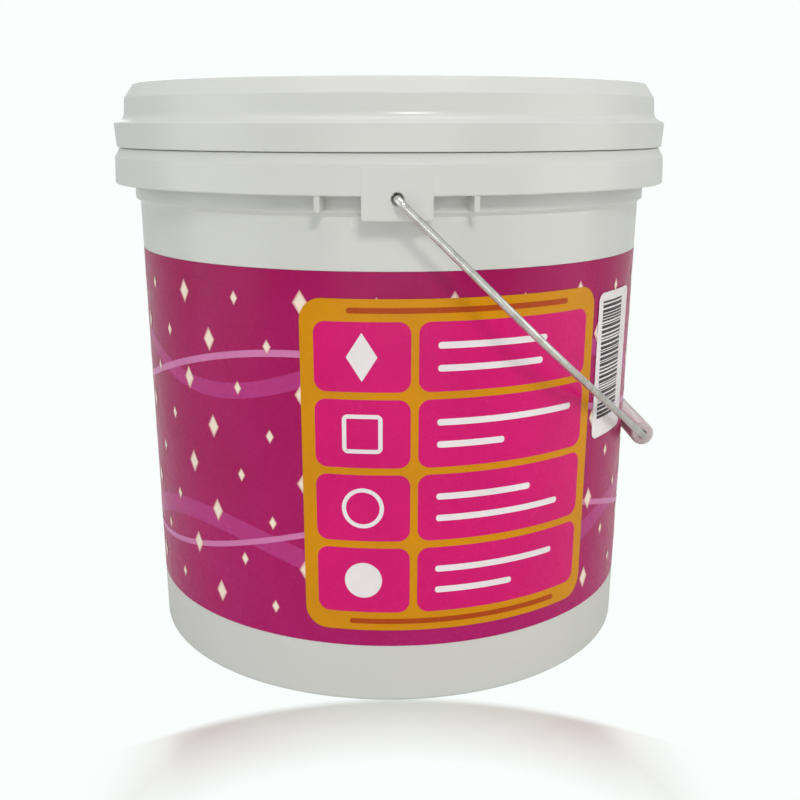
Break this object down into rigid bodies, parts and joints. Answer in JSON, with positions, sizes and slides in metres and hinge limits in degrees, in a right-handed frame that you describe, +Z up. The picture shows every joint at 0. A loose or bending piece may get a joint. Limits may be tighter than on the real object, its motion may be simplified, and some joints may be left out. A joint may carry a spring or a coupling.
{
  "type": "detergent pail",
  "caption": "Round tapered plastic pail with a printed wall label, a stepped press-fit lid and a wire bail handle with a plastic tube grip.",
  "frame": {"origin": "centre of the pail's underside, on the surface it stands on", "axes": "+Z up through the lid, Y along the line of the two ears, +X towards the side where the bail hangs"},
  "size_m": [0.2666, 0.279, 0.2658],
  "materials": {
    "white_plastic": "smooth semi-gloss moulding",
    "printed_film": "glossy printed film, magenta ground",
    "zinc_wire": "drawn wire, zinc coated",
    "milky_plastic": "milky translucent, smooth"
  },
  "bodies": {
    "pail": {"pail_body": "white_plastic", "label": "printed_film"},
    "lid": {"lid": "white_plastic"},
    "bail": {"bail_wire": "zinc_wire"},
    "grip": {"bail_grip": "milky_plastic"}
  },
  "joints": [
    {"name": "lid_lift", "type": "slide", "parent": "pail", "child": "lid", "axis": [0, 0, 1], "range_m": [0, 0.08]},
    {"name": "bail_swing", "type": "hinge", "parent": "pail", "child": "bail", "pos_m": [0, 0, 0.2194], "axis": [0, -1, 0], "range_deg": [0, 268.8]},
    {"name": "grip_spin", "type": "hinge", "parent": "bail", "child": "grip", "pos_m": [0.12534, 0, 0.09656], "axis": [0, 1, 0], "continuous": true}
  ]
}
